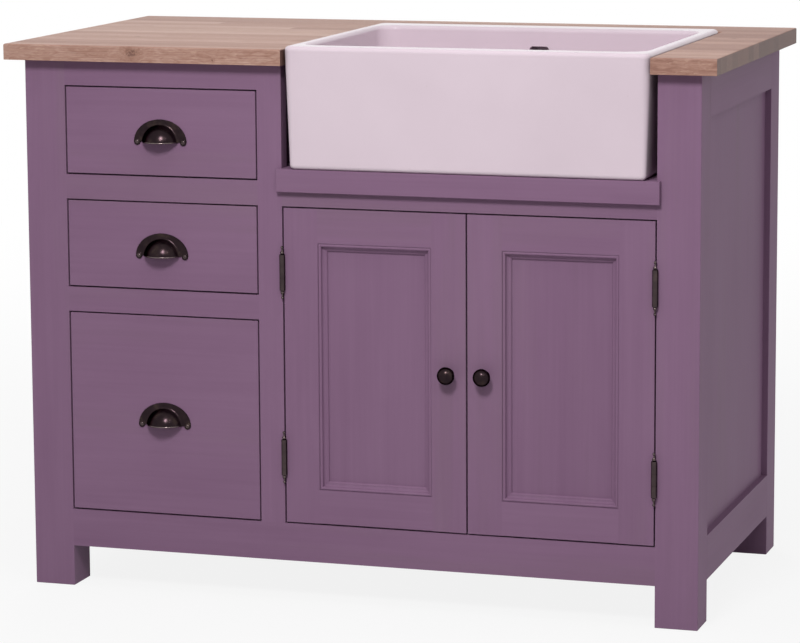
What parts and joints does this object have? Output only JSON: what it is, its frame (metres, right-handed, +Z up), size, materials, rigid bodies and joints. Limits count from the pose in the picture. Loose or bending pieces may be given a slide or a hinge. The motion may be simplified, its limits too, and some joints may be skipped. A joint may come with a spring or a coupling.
{
  "type": "sink base cabinet",
  "caption": "Free-standing painted kitchen unit with drawers beside a cupboard, an oak worktop and a farmhouse sink set into its front edge.",
  "frame": {"origin": "on the floor under the middle of the whole unit's bounding box", "axes": "+X to the right seen from the front, +Y towards the wall behind, +Z up"},
  "size_m": [1.181, 0.6316, 0.905],
  "materials": {
    "paint": "timber and board under satin mauve paint",
    "oak": "oiled oak staves",
    "plain_timber": "planed pale timber, sealed",
    "plywood": "birch plywood, sealed",
    "fireclay": "white glazed fireclay",
    "dark_bronze": "dark bronze, slightly glossy",
    "steel": "zinc-plated",
    "catch_plastic": "off-white moulded plastic"
  },
  "bodies": {
    "cabinet": {"leg_front_left": "paint", "leg_front_right": "paint", "leg_rear_left": "paint", "leg_rear_right": "paint", "front_top_rail": "paint", "drawer_rails": "paint", "centre_stile": "paint", "front_bottom_rail": "paint", "sink_rail": "paint", "sink_sill": "paint", "side_top_rails": "paint", "side_bottom_rails": "paint", "side_panel_left": "paint", "side_panel_right": "paint", "back_rails": "paint", "back_panel": "paint", "floor_panel": "paint", "partition": "paint", "drawer_runners": "plain_timber", "drawer_kickers": "plain_timber", "sink_bearers": "plain_timber", "worktop": "oak", "sink": "fireclay", "hinge_frame_leaves": "dark_bronze", "hinge_pins": "dark_bronze", "door_catches": "catch_plastic", "worktop_brackets": "steel"},
    "left_door": {"left_door_stiles": "paint", "left_door_rails": "paint", "left_door_panel": "paint", "left_door_moulding": "paint", "left_door_knob": "dark_bronze", "left_door_hinge_leaves": "dark_bronze", "left_door_strike": "steel"},
    "right_door": {"right_door_stiles": "paint", "right_door_rails": "paint", "right_door_panel": "paint", "right_door_moulding": "paint", "right_door_knob": "dark_bronze", "right_door_hinge_leaves": "dark_bronze", "right_door_strike": "steel"},
    "top_drawer": {"top_drawer_front": "paint", "top_drawer_sides": "plain_timber", "top_drawer_back": "plain_timber", "top_drawer_base": "plywood", "top_drawer_stop": "plain_timber", "top_drawer_pull": "dark_bronze"},
    "middle_drawer": {"middle_drawer_front": "paint", "middle_drawer_sides": "plain_timber", "middle_drawer_back": "plain_timber", "middle_drawer_base": "plywood", "middle_drawer_stop": "plain_timber", "middle_drawer_pull": "dark_bronze"},
    "bottom_drawer": {"bottom_drawer_front": "paint", "bottom_drawer_sides": "plain_timber", "bottom_drawer_back": "plain_timber", "bottom_drawer_base": "plywood", "bottom_drawer_stop": "plain_timber", "bottom_drawer_pull": "dark_bronze"}
  },
  "joints": [
    {"name": "top_drawer_slide", "type": "slide", "parent": "cabinet", "child": "top_drawer", "axis": [0, -1, 0], "range_m": [0, 0.3997]},
    {"name": "middle_drawer_slide", "type": "slide", "parent": "cabinet", "child": "middle_drawer", "axis": [0, -1, 0], "range_m": [0, 0.3997]},
    {"name": "bottom_drawer_slide", "type": "slide", "parent": "cabinet", "child": "bottom_drawer", "axis": [0, -1, 0], "range_m": [0, 0.3997]},
    {"name": "left_door_hinge", "type": "hinge", "parent": "cabinet", "child": "left_door", "pos_m": [-0.11975, -0.29255, 0.39], "axis": [0, 0, -1], "range_deg": [0, 90]},
    {"name": "right_door_hinge", "type": "hinge", "parent": "cabinet", "child": "right_door", "pos_m": [0.49225, -0.29255, 0.39], "axis": [0, 0, 1], "range_deg": [0, 175]}
  ]
}
